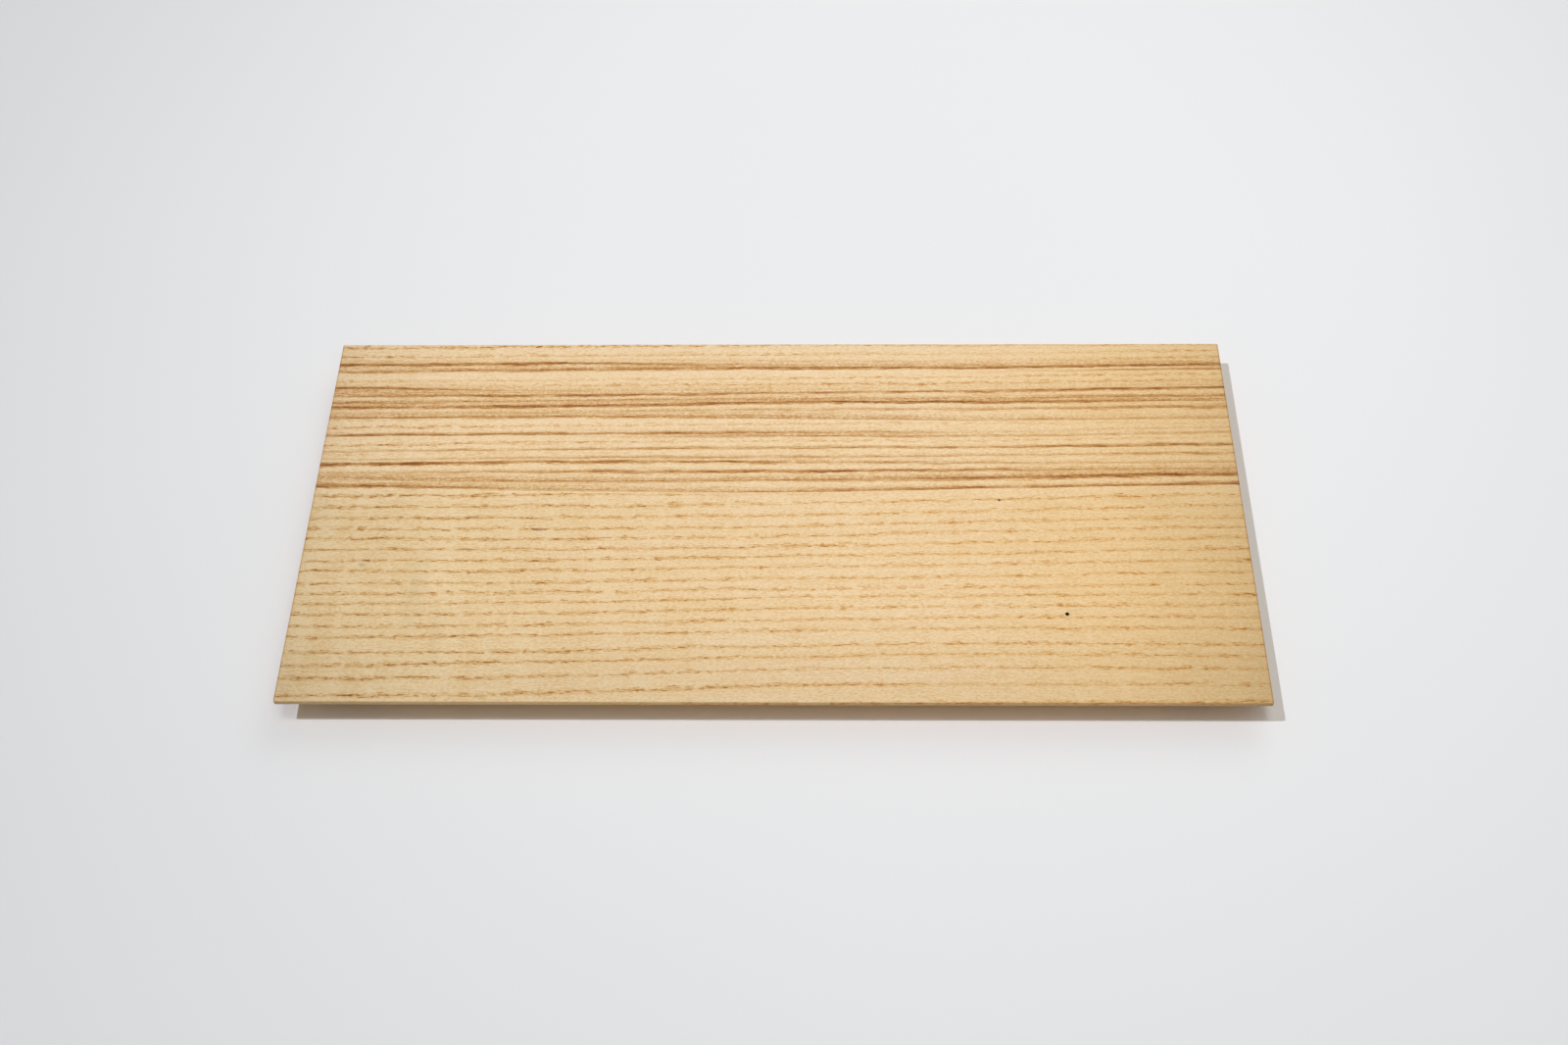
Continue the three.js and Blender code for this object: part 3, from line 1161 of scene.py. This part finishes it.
@dataclass
class Plank:
    """The plate's plank: flat serving face, thin rim, under-bevel, dovetail grooves and sockets.

    Attributes:
        rim_corner: Height at which the bevel would meet the edge if the rim weren't eased.
        socket_lines: Lattice lines about a peg's socket.
        pin_radii, pin_drops: Square radii on the pin hole's wall, and how deep it is there.
        pin_hold: Square radius up to which the lattice about the pin hole is round.
        pin_fade, socket_fade: Square radii from which the lattice is square again.
        far_part: Place along Y from which the lattice is finer, for the streaks.
    """

    length: float = 400.0
    width: float = 200.0
    height: float = 15.0
    thickness: float = 9.0
    rim_corner: float = 12.95
    bevel: float = 14.0
    arris: float = 0.4
    corner: float = 0.8
    groove_x: float = 170.0
    groove_neck: float = 6.8
    groove_flare: float = 1.0
    groove_depth: float = 3.8
    socket_radius: float = 3.3
    socket_top: float = 12.5
    socket_fade: float = 6.5
    socket_lines: tuple[float, ...] = (0.0, 1.1, 2.2, 3.26, 3.3)
    pin_hole: tuple[float, float] = (121.0, -55.4)
    pin_depth: float = 2.5
    pin_radii: tuple[float, ...] = (0.5, 0.6, 0.66, 0.74, 0.82)
    pin_drops: tuple[float, ...] = (2.5, 2.4, 0.16, 0.04, 0.0)
    pin_hold: float = 0.8
    pin_fade: float = 2.6
    far_part: float = 8.0
    rings: PlankRings = field(default_factory=PlankRings)

    @property
    def underside(self) -> float:
        """Height of the flat underside."""
        return self.height - self.thickness

    @property
    def slope(self) -> float:
        """Rise of the bevel per millimetre towards the rim."""
        return (self.rim_corner - self.underside) / self.bevel

    @property
    def roof(self) -> float:
        """Half width of a groove's roof."""
        return self.groove_neck + self.groove_flare

    @property
    def mouth(self) -> float:
        """Half width that a groove's mouth lines have at the rim, where the groove has run out."""
        rise = self.rim_corner - self.slope * self.corner - self.underside
        return self.groove_neck + self.groove_flare * rise / self.groove_depth

    def inset_lines(self) -> Array:
        """Distances from the edge at which all four bevels have a line, so that mitres meet."""
        run_out = (self.rim_corner - self.underside - self.groove_depth) / self.slope
        return np.array([self.bevel, (self.bevel + run_out) / 2, run_out, run_out / 2, self.corner])

    def inset_of(self, x: Array, y: Array) -> tuple[Array, Array]:
        """Distance of places from the nearest end and from the nearest long edge."""
        return self.length / 2 - np.abs(x), self.width / 2 - np.abs(y)

    def lattice_lines(self) -> tuple[Array, Array]:
        """Space the lattice lines that both broad faces share.

        Returns:
            Lines along X and lines along Y.
        """
        pin = mirrored([0.0, 0.2, 0.4, *self.pin_radii, 1.1, 1.6, self.pin_fade])
        socket = mirrored(self.socket_lines)
        groove = np.concatenate([socket, [-self.mouth, -self.roof, self.roof, self.mouth]])
        inset = self.inset_lines()
        half_x, half_y = self.length / 2, self.width / 2
        exact_x = [half_x - inset, inset - half_x, self.pin_hole[0] + pin]
        exact_x += [groove - self.groove_x, groove + self.groove_x]
        exact_y = np.concatenate([half_y - inset, inset - half_y, self.pin_hole[1] + pin, socket])
        x = grid_lines(self.corner - half_x, half_x - self.corner, 6.0, np.concatenate(exact_x), 1.2)
        part = self.far_part
        near = grid_lines(self.corner - half_y, part, 1.2, exact_y[exact_y < part - 0.2], 0.4)
        far = grid_lines(part, half_y - self.corner, 0.5, exact_y[exact_y > part + 0.2], 0.2)
        return x, np.concatenate([near, far[1:]])

    def serving_face(self, x: Array, y: Array) -> tuple[Surface, Array]:
        """Build the serving face with its pin hole.

        Height is level but for a planed unevenness, a sum of two long sine waves that stays below
        the plate's height, and drops inside the pin hole in straight steps from radius to radius.

        Args:
            x, y: Lattice lines.

        Returns:
            The surface and its lattice of points.
        """
        gx, gy = np.meshgrid(x, y)
        wx, wy, square = round_off(gx, gy, self.pin_hole, self.pin_hold, self.pin_fade)
        uneven = 0.03 * np.sin(gx / 41.0 + gy / 90.0) + 0.02 * np.sin(gy / 17.0 - gx / 150.0) - 0.05
        drop = np.interp(square, self.pin_radii, self.pin_drops)
        points = np.stack([wx, wy, self.height + uneven - drop], axis=-1)
        return Surface.lattice(points), points

    def underside_face(self, x: Array, y: Array) -> tuple[Surface, Array]:
        """Build the underside with its bevels, grooves and peg sockets.

        The bevel's height falls evenly with the distance from the nearest edge down to the flat.
        Inside a groove the height is at least the roof's; its mouth lines lean out with the
        height of the face that they run over, which gives the dovetail its flare.

        Args:
            x, y: Lattice lines.

        Returns:
            The surface and its lattice of points.
        """
        gx, gy = np.meshgrid(x, y)
        inset_x, inset_y = self.inset_of(gx, gy)
        face = np.maximum(self.underside, self.rim_corner - self.slope * np.minimum(inset_x, inset_y))
        wx, wy, wz = gx.copy(), gy.copy(), face.copy()
        lean = self.groove_neck + self.groove_flare * (face - self.underside) / self.groove_depth
        for side in Side:
            middle = side.value * self.groove_x
            off = gx - middle
            inside = np.abs(off) < self.roof + TOUCH
            wz = np.where(inside, np.maximum(wz, self.underside + self.groove_depth), wz)
            at_mouth = np.abs(np.abs(off) - self.mouth) < TOUCH
            wx = np.where(at_mouth, middle + np.sign(off) * lean, wx)
            centre = (middle, 0.0)
            rx, ry, square = round_off(gx, gy, centre, self.socket_radius, self.socket_fade)
            near = inside & (square < self.socket_fade)
            wx, wy = np.where(near, rx, wx), np.where(near, ry, wy)
            wz = np.where(square < self.socket_radius - 0.01, self.socket_top, wz)
        points = np.stack([wx, wy, wz], axis=-1)
        surface = Surface.lattice(points, outward_up=False)
        mitre = (np.abs(inset_x - inset_y) < TOUCH) & (inset_x < self.bevel + TOUCH)
        return surface.split_along(mitre.reshape(-1)), points

    def rim_profile(self) -> Array:
        """Draw the rim's section from the serving face round to the bevel.

        Both arrises are arcs: the upper turns a quarter, the lower turns until it lies along
        the bevel.

        Returns:
            Rows of outward distance from the lattice's border, and height.
        """
        r, s = self.arris, self.slope
        quarter = np.linspace(0.0, math.pi / 2, 7)
        upper = np.stack([r * np.sin(quarter) - r, self.height - r + r * np.cos(quarter)], axis=1)
        low_z = self.rim_corner - s * r + r * math.hypot(1.0, s)
        turn = np.linspace(0.0, math.atan2(1.0, s), 6)
        lower = np.stack([r * np.cos(turn) - r, low_z - r * np.sin(turn)], axis=1)
        start = [-self.corner, self.height]
        end = [-self.corner, self.rim_corner - s * self.corner]
        return np.concatenate([[start], upper, lower, [end]]) + [self.corner, 0.0]

    def rim(self, top: Array, under: Array) -> Surface:
        """Carry the rim's section round the border of the two broad faces.

        At each corner the section turns about the border's corner point in even steps.

        Args:
            top, under: Lattices of the broad faces.

        Returns:
            The rim.
        """
        sides = [
            (top[0], under[0], -90.0),
            (top[:, -1], under[:, -1], 0.0),
            (top[-1, ::-1], under[-1, ::-1], 90.0),
            (top[::-1, 0], under[::-1, 0], 180.0),
        ]
        fan = np.arange(15.0, 90.0, 15.0)
        upper, lower, turns = [], [], []
        for upper_side, lower_side, angle in sides:
            upper += [upper_side, np.repeat(upper_side[-1:], len(fan), axis=0)]
            lower += [lower_side, np.repeat(lower_side[-1:], len(fan), axis=0)]
            turns += [np.full(len(upper_side), angle), angle + fan]
        above, below = np.concatenate(upper), np.concatenate(lower)
        turn = np.radians(np.concatenate(turns))
        out = np.stack([np.cos(turn), np.sin(turn), np.zeros_like(turn)], axis=1)
        profile = self.rim_profile()
        share = np.linspace(0.0, 1.0, len(profile))[None, :, None]
        path = above[:, None, :] * (1 - share) + below[:, None, :] * share
        points = path + out[:, None, :] * profile[None, :, :1]
        uneven = (above[:, None, 2] - self.height) * (1 - share[:, :, 0])
        points[:, :, 2] = profile[None, :, 1] + uneven
        points[:, -1, 2] = below[:, 2]
        return Surface.lattice(points, wrap=True)

    def masks(self, points: Array) -> dict[str, Array]:
        """Say where the rim, the pin hole and the underside are.

        Args:
            points: The plank's points.

        Returns:
            Masks named edge, hole and below.
        """
        x, y, z = points.T
        from_end, from_side = self.inset_of(x, y)
        at_ends, at_sides = 1 - ease(0.0, 0.9, from_end), 1 - ease(0.0, 0.4, from_side)
        from_pin = np.hypot(x - self.pin_hole[0], y - self.pin_hole[1])
        in_hole = z > self.height - self.pin_depth - 0.2
        return {
            # edge marks the rim for the painted shade of its rounded arrises, strongest at the ends.
            "edge": np.maximum(0.9 * at_ends, 0.45 * at_sides),
            # hole marks the inside of the pin hole, for its painted shade.
            "hole": np.where(in_hole, 1 - ease(0.7, 0.95, from_pin), 0.0),
            "below": 1 - ease(11.5, 12.9, z),
        }

    def build(self, material: bpy.types.Material) -> None:
        """Build the plank, which stands for the CAD plank, and dress it.

        Args:
            material: Its finish.
        """
        x, y = self.lattice_lines()
        top, top_points = self.serving_face(x, y)
        under, under_points = self.underside_face(x, y)
        whole = Surface.welded([top, under, self.rim(top_points, under_points)])
        values = self.rings.at(whole.points) | self.masks(whole.points)
        settle(whole.to_object("plank", values), material, "plate_board")


@dataclass
class Batten:
    """One cross batten: foot below, dovetail tongue above, bored for its peg.

    Attributes:
        bore_fade: Square radius from which the lattice about the bore is square again.
        plain_from: Distance from the middle at which the evenly stretched lines start.
        pith: The pith's place in X and Z, from the batten's middle.
        eased: Width of the eased edges.
    """

    side: Side
    middle_x: float = 170.0
    half_width: float = 12.0
    shoulder: float = 6.0
    tongue_top: float = 9.5
    tongue_neck: float = 6.5
    tongue_flare: float = 1.0
    sole_chamfer: float = 0.8
    half_length: float = 82.0
    end_slope: float = 3.0
    bore_radius: float = 3.3
    bore_lines: int = 7
    bore_fade: float = 6.0
    plain_from: float = 8.0
    pith: tuple[float, float] = (-95.0, -70.0)
    ring_spacing: float = 3.6
    ring_weight: float = 0.8
    eased: float = 0.25

    def section(self, bore: Array) -> tuple[Array, list[int]]:
        """Draw the batten's section, counter-clockwise from the sole's left end.

        Args:
            bore: Lines across the bore.

        Returns:
            Rows of X from the batten's middle and Z, and the numbers of the sole's and of the
            tongue's first points over the bore.
        """
        half, neck = self.half_width, self.tongue_neck
        sole = mirrored([*bore[bore >= 0], half - self.sole_chamfer])
        roof = mirrored([*bore[bore >= 0], neck + self.tongue_flare])[::-1]
        flank = np.array([(half, self.sole_chamfer), (half, self.shoulder), (neck, self.shoulder)])
        rows = [
            np.stack([sole, np.zeros_like(sole)], axis=1),
            flank,
            np.stack([roof, np.full_like(roof, self.tongue_top)], axis=1),
            flank[::-1] * [-1.0, 1.0],
        ]
        return np.concatenate(rows), [1, len(sole) + len(flank) + 1]

    def border(self, block: Array) -> Array:
        """List a square block's border numbers in order round it."""
        return np.concatenate([block[0, :-1], block[:-1, -1], block[-1, :0:-1], block[:0:-1, 0]])

    def body(self) -> Surface:
        """Shape the batten.

        The section is carried along Y, where each point's reach is the half length less the end's
        lean below the shoulder. Over the bore the lattice is pulled round and left open, and a
        wall joins the two openings. Each end is one leaning face below the shoulder and one
        upright face on the tongue.

        Returns:
            The closed surface.
        """
        bore = np.linspace(-self.bore_radius, self.bore_radius, self.bore_lines)
        section, starts = self.section(bore)
        away = np.geomspace(self.plain_from, self.half_length, 12)
        lines = np.concatenate([-away[::-1], bore, away])
        lean = self.end_slope * np.clip(1 - section[:, 1:] / self.shoulder, 0.0, 1.0)
        x, y, z = np.broadcast_arrays(section[:, :1], lines[None, :], section[:, 1:])
        y = np.where(np.abs(y) > self.plain_from + 0.1, y * (1 - lean / self.half_length), y)
        flat = (z < TOUCH) | (z > self.tongue_top - TOUCH)
        round_x, round_y, _ = round_off(x, y, (0.0, 0.0), self.bore_radius, self.bore_fade)
        points = np.stack([np.where(flat, round_x, x), np.where(flat, round_y, y), z], axis=-1)
        body = Surface.lattice(points + [self.side.value * self.middle_x, 0.0, 0.0], wrap=True)
        number = np.arange(x.size).reshape(x.shape)
        over = slice(len(away), len(away) + self.bore_lines)
        sole, roof = [number[start : start + self.bore_lines, over] for start in starts]
        for block in (sole, roof):
            body.quads = body.quads[~np.isin(body.quads, block).all(axis=1)]
        low, high = self.border(sole), self.border(roof[::-1])
        wall = np.stack([low, np.roll(low, -1), np.roll(high, -1), high], axis=1)
        body.quads = np.concatenate([body.quads, wall])
        inner = np.abs(section[:, 0]) < self.half_width - TOUCH
        foot = np.flatnonzero(section[:, 1] < self.shoulder + TOUCH)
        tongue = np.flatnonzero(inner & (section[:, 1] > self.shoulder - TOUCH))
        for face in (foot, tongue):
            body.caps += [number[face, 0].tolist(), number[face, -1][::-1].tolist()]
        return body

    def build(self, material: bpy.types.Material) -> None:
        """Build the batten, which stands for the CAD batten, ease its edges and dress it.

        Args:
            material: Its finish.
        """
        body = self.body()
        pith = (self.side.value * self.middle_x + self.pith[0], self.pith[1])
        rings = StraightRings(pith, (0, 2), self.ring_spacing, self.ring_weight)
        node = f"batten_{self.side.name.lower()}"
        piece = body.to_object(f"{node}_foot", rings.at(body.points))
        easing = piece.modifiers.new("eased_edges", "BEVEL")
        easing.width = self.eased * MM
        easing.segments = 2
        easing.limit_method = "ANGLE"
        easing.angle_limit = math.radians(30)
        settle(piece, material, node)


@dataclass
class Peg:
    """One round peg, driven up through a batten into the plank.

    Attributes:
        crown: Rise of the sawn lower end from its middle to its edge.
        pith: The pith's place in X and Y, from the peg's middle.
        steps: Steps of the turn.
    """

    side: Side
    middle_x: float = 170.0
    radius: float = 3.0
    low: float = 0.3
    top: float = 12.2
    lead_in: float = 0.6
    crown: float = 0.12
    pith: tuple[float, float] = (9.0, 5.0)
    ring_spacing: float = 1.6
    ring_weight: float = 0.9
    steps: int = 48

    def profile(self) -> Array:
        """Draw the profile from the middle of the lower end out and up to the middle of the top.

        Returns:
            Rows of radius and height.
        """
        r, low, edge = self.radius, self.low, self.low + self.crown
        crowned = [(0.0, low), (0.35 * r, low + 0.1 * self.crown), (0.7 * r, low + 0.4 * self.crown)]
        worn = [(r - 0.25, edge), (r - 0.07, edge + 0.07), (r, edge + 0.25)]
        shank = [(r, low + 4.0), (r, self.top - self.lead_in), (r - self.lead_in, self.top)]
        return np.array([*crowned, *worn, *shank, (0.0, self.top)])

    def build(self, material: bpy.types.Material) -> None:
        """Build the peg, which stands for the CAD peg, and dress it.

        Its profile is turned about the peg's axis: radius times the cosine and sine of the turn.

        Args:
            material: Its finish.
        """
        turn = np.linspace(0.0, 2 * math.pi, self.steps, endpoint=False)[:, None]
        out, up = self.profile().T
        axis = self.side.value * self.middle_x
        x, y, z = np.broadcast_arrays(axis + out * np.cos(turn), out * np.sin(turn), up)
        lattice = Surface.lattice(np.stack([x, y, z], axis=-1), outward_up=False, wrap=True)
        whole = Surface.welded([lattice])
        pith = (axis + self.pith[0], self.pith[1])
        rings = StraightRings(pith, (0, 1), self.ring_spacing, self.ring_weight)
        node = f"peg_{self.side.name.lower()}"
        piece = whole.to_object(f"{node}_turned", rings.at(whole.points))
        settle(piece, material, node)


@dataclass(frozen=True)
class Lamp:
    """One lamp, which points at the plate.

    Attributes:
        place: Where it hangs, or for a sun the side that it shines from.
        strength: A sun's strength, or a panel's power.
        size: A sun's spread in degrees, or a panel's width and height.
    """

    name: str
    kind: LampKind
    place: Triple
    strength: float
    size: tuple[float, ...]
    tint: Triple

    def build(self) -> None:
        """Hang the lamp."""
        light = bpy.data.lights.new(self.name, self.kind.value)
        light.energy = self.strength
        light.color = self.tint
        if self.kind is LampKind.SUN:
            light.angle = math.radians(self.size[0])
        else:
            light.shape = "RECTANGLE"
            light.size, light.size_y = self.size
        lamp = bpy.data.objects.new(self.name, light)
        lamp.location = self.place
        lamp.rotation_euler = Vector(self.place).to_track_quat("Z", "Y").to_euler()
        bpy.context.scene.collection.objects.link(lamp)


COOL: Triple = (0.885, 0.918, 1.0)
SOFT: Triple = (1.0, 0.975, 0.903)
WHITE: Colour = (1.0, 1.0, 1.0, 1.0)

STUDIO_LAMPS: tuple[Lamp, ...] = (
    Lamp("key", LampKind.SUN, (-0.488, -0.135, 1.0), 1.485, (0.9,), COOL),
    Lamp("top", LampKind.SUN, (0.0, -0.15, 1.0), 0.433, (14.0,), SOFT),
    Lamp("front", LampKind.PANEL, (0.24, -0.6, 1.3), 2.95, (0.35, 1.1), SOFT),
    Lamp("fill", LampKind.PANEL, (0.6, 1.15, 1.35), 6.6, (1.4, 1.4), SOFT),
)


@dataclass
class Studio:
    """The pale table, the lamps, the sky and the camera.

    Attributes:
        table_half: Half the table's side, in millimetres.
        table_tone, painted_falloff_level: Colour of the table in its painted pool of light, and its level
            far off.
        painted_light_centre, painted_light_stretch: Middle of the painted pool of light, and how distances
        count.
        painted_falloff_over, fades_over: Distances over which the painted light dims, and over which the
            table runs out into the backdrop.
        sky_low, sky_high: Light of the sky at the horizon and overhead.
        backdrop: Level of the backdrop that is seen.
        camera_turn: Turn of the camera in degrees.
    """

    table_half: float = 6000.0
    table_tone: Colour = shown(239, 240, 242)
    painted_falloff_level: float = 0.79
    painted_light_centre: Triple = (0.05, 0.2, 0.0)
    painted_light_stretch: Triple = (1.2, 1.0, 1.0)
    painted_falloff_over: tuple[float, float] = (0.15, 0.8)
    fades_over: tuple[float, float] = (0.75, 1.7)
    lamps: tuple[Lamp, ...] = STUDIO_LAMPS
    sky_low: float = 0.118
    sky_high: float = 0.256
    backdrop: float = 0.84
    camera_at: Triple = (0.02355, -0.60788, 0.73344)
    camera_turn: Triple = (39.942, 0.915, 0.783)
    lens: float = 50.45

    def seen(self, graph: Graph) -> Socket:
        """Tell rays that see a surface, directly, in gloss or through glass, from those that light it.

        Args:
            graph: The graph of a material or of the world.

        Returns:
            1 for rays that see and 0 for the others.
        """
        rays = graph.add("ShaderNodeLightPath").outputs
        return graph.larger(
            rays["Is Camera Ray"], graph.larger(rays["Is Glossy Ray"], rays["Is Transmission Ray"])
        )

    def table(self) -> None:
        """Lay the table: one large flat sheet of matt paint, with a painted pool of light under the plate.

        Far from the plate, where it is seen directly, it runs out into the backdrop.
        """
        x = np.linspace(-self.table_half, self.table_half, 13)
        gx, gy = np.meshgrid(x, x)
        floor = Surface.lattice(np.stack([gx, gy, np.zeros_like(gx)], axis=-1)).to_object("table", {})
        material = bpy.data.materials.new("table_paint")
        material.use_nodes = True
        graph, nodes = Graph(material.node_tree), material.node_tree.nodes
        place = graph.add("ShaderNodeTexCoord").outputs["Object"]
        away = graph.vector("SUBTRACT", place, self.painted_light_centre)
        far = graph.vector("LENGTH", graph.vector("MULTIPLY", away, self.painted_light_stretch))
        # Painted pool of light: the paint is brightest under the plate and dims away from it.
        painted_falloff = graph.span(far, *self.painted_falloff_over, 1.0, self.painted_falloff_level)
        level = graph.scaled(graph.noise(place, Noise.TABLE_MOTTLE), 0.02, painted_falloff)
        colour = graph.vector("SCALE", self.table_tone[:3], level)
        shader = nodes["Principled BSDF"]
        graph.wire(shader, {"Base Color": colour, "Roughness": 0.7, "Specular IOR Level": 0.2})
        glow = graph.wire(graph.add("ShaderNodeEmission"), {"Strength": self.backdrop})
        fade = graph.times(self.seen(graph), graph.span(far, *self.fades_over))
        mixed = {0: fade, 1: shader.outputs["BSDF"], 2: glow.outputs["Emission"]}
        join = graph.wire(graph.add("ShaderNodeMixShader"), mixed)
        graph.wire(nodes["Material Output"], {"Surface": join.outputs[0]})
        floor.data.materials.append(material)

    def sky(self) -> None:
        """Light the scene from a dim sky that grows brighter overhead.

        Seen directly, in gloss or through glass, the sky is a plain pale backdrop.
        """
        world = bpy.data.worlds.new("sky")
        world.use_nodes = True
        graph = Graph(world.node_tree)
        up = graph.parts(graph.add("ShaderNodeTexCoord").outputs["Generated"])[2]
        glow = graph.span(up, 0.0, 1.0, self.sky_low, self.sky_high, smooth=False)
        seen = self.seen(graph)
        strength = graph.scaled(seen, graph.minus(self.backdrop, glow), glow)
        colour = graph.blend(seen, (*SOFT, 1.0), WHITE)
        graph.wire(world.node_tree.nodes["Background"], {"Color": colour, "Strength": strength})
        bpy.context.scene.world = world

    def camera(self) -> None:
        """Set the camera at the photograph's view."""
        camera = bpy.data.cameras.new("view")
        camera.lens = self.lens
        camera.sensor_width = 36.0
        camera.clip_start = 0.01
        eye = bpy.data.objects.new("view", camera)
        eye.location = self.camera_at
        eye.rotation_euler = Euler([math.radians(a) for a in self.camera_turn])
        bpy.context.scene.collection.objects.link(eye)
        bpy.context.scene.camera = eye

    def build(self) -> None:
        """Set up the table, the lamps, the sky, the camera and the plain view transform."""
        self.table()
        for lamp in self.lamps:
            lamp.build()
        self.sky()
        self.camera()
        bpy.context.scene.view_settings.view_transform = "Standard"


def main() -> None:
    """Build the studio and the plate, piece by piece."""
    logging.basicConfig(level=logging.INFO, format="%(message)s")
    Studio().build()
    maker = GroupMaker()
    groups = Groups(maker.grain_lines(), maker.wood_fibre(), maker.mark())
    Plank().build(PLANK_FINISH.build(groups))
    batten_wood = BATTEN_FINISH.build(groups)
    peg_wood = PEG_FINISH.build(groups)
    for side in Side:
        Batten(side).build(batten_wood)
        Peg(side).build(peg_wood)


if __name__ == "__main__":
    main()
